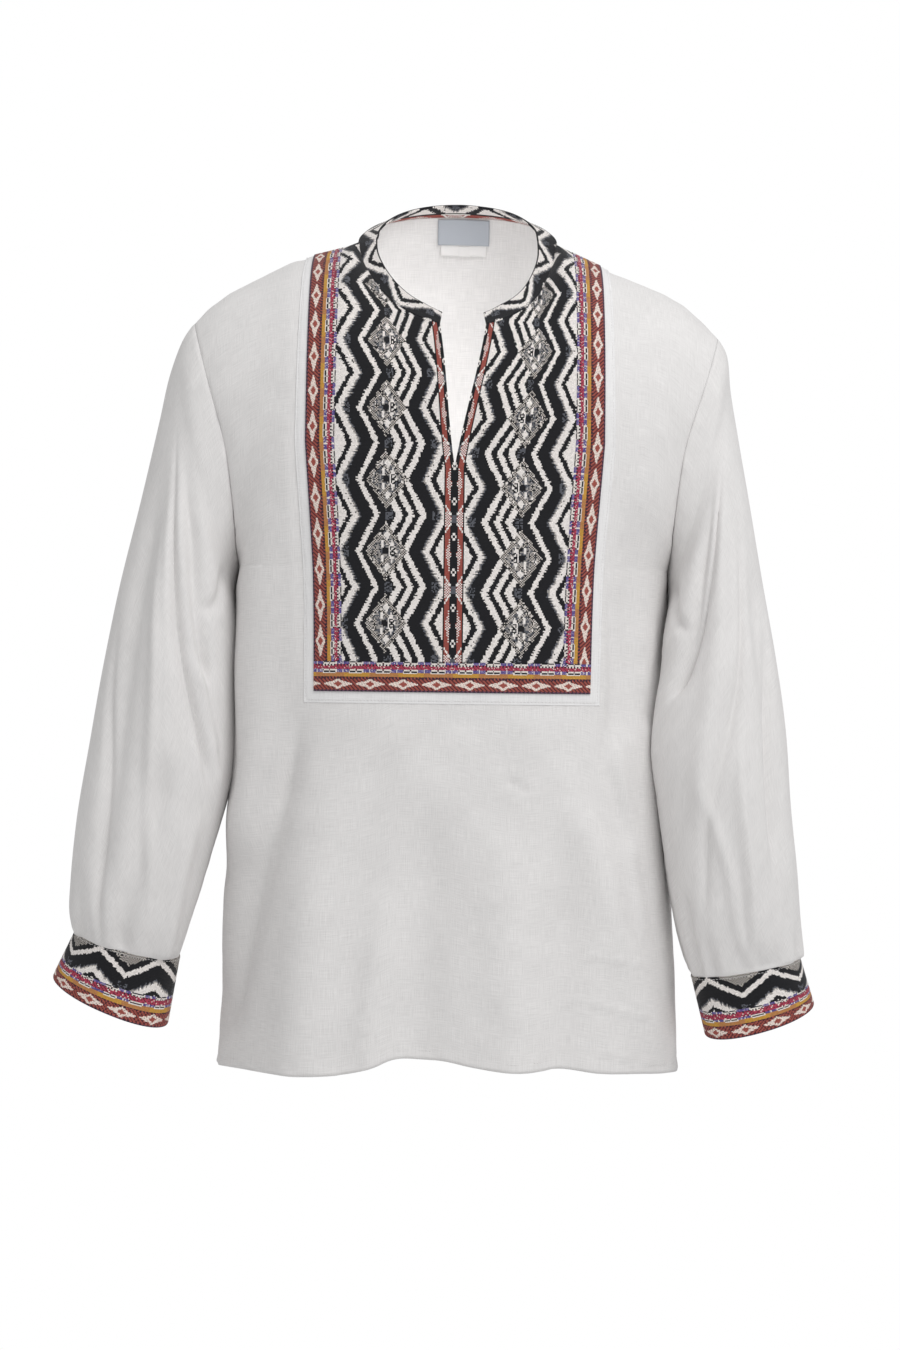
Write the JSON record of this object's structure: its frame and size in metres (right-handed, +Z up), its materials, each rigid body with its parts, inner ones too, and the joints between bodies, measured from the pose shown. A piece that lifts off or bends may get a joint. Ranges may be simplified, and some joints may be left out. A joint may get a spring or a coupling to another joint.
{
  "type": "folk shirt",
  "caption": "Long-sleeved white tunic shirt with a slit neck, narrow band collar, woven zigzag bib with ribbon borders and patterned cuffs, filled out as if worn.",
  "frame": {"origin": "the neck point: level with the tops of the shoulders where they meet the neckline, on the centre line and in the plane of the shoulder and side seams", "axes": "+Z up along the height of the shirt, +Y from its front to its back, +X towards the wearer's left"},
  "size_m": [0.7083, 0.2921, 0.8187],
  "materials": {
    "white_cloth": "plain-weave white linen and cotton cloth, matt",
    "patterned_cloth": "black and cream woven zigzag cloth, matt",
    "border_ribbon": "red-brown, ochre, pink and purple woven ribbon, matt",
    "woven_label": "grey satin-woven label, bare",
    "printed_label": "white label tape, bare"
  },
  "bodies": {
    "root": {"front": "white_cloth", "back": "white_cloth", "sleeve_left": "white_cloth", "sleeve_right": "white_cloth", "bib_base": "white_cloth", "bib": "patterned_cloth", "collar": "patterned_cloth", "cuff_left": "patterned_cloth", "cuff_right": "patterned_cloth", "border_left": "border_ribbon", "border_right": "border_ribbon", "border_bottom": "border_ribbon", "label_woven": "woven_label", "label_care": "printed_label", "label_size": "printed_label"}
  },
  "joints": []
}
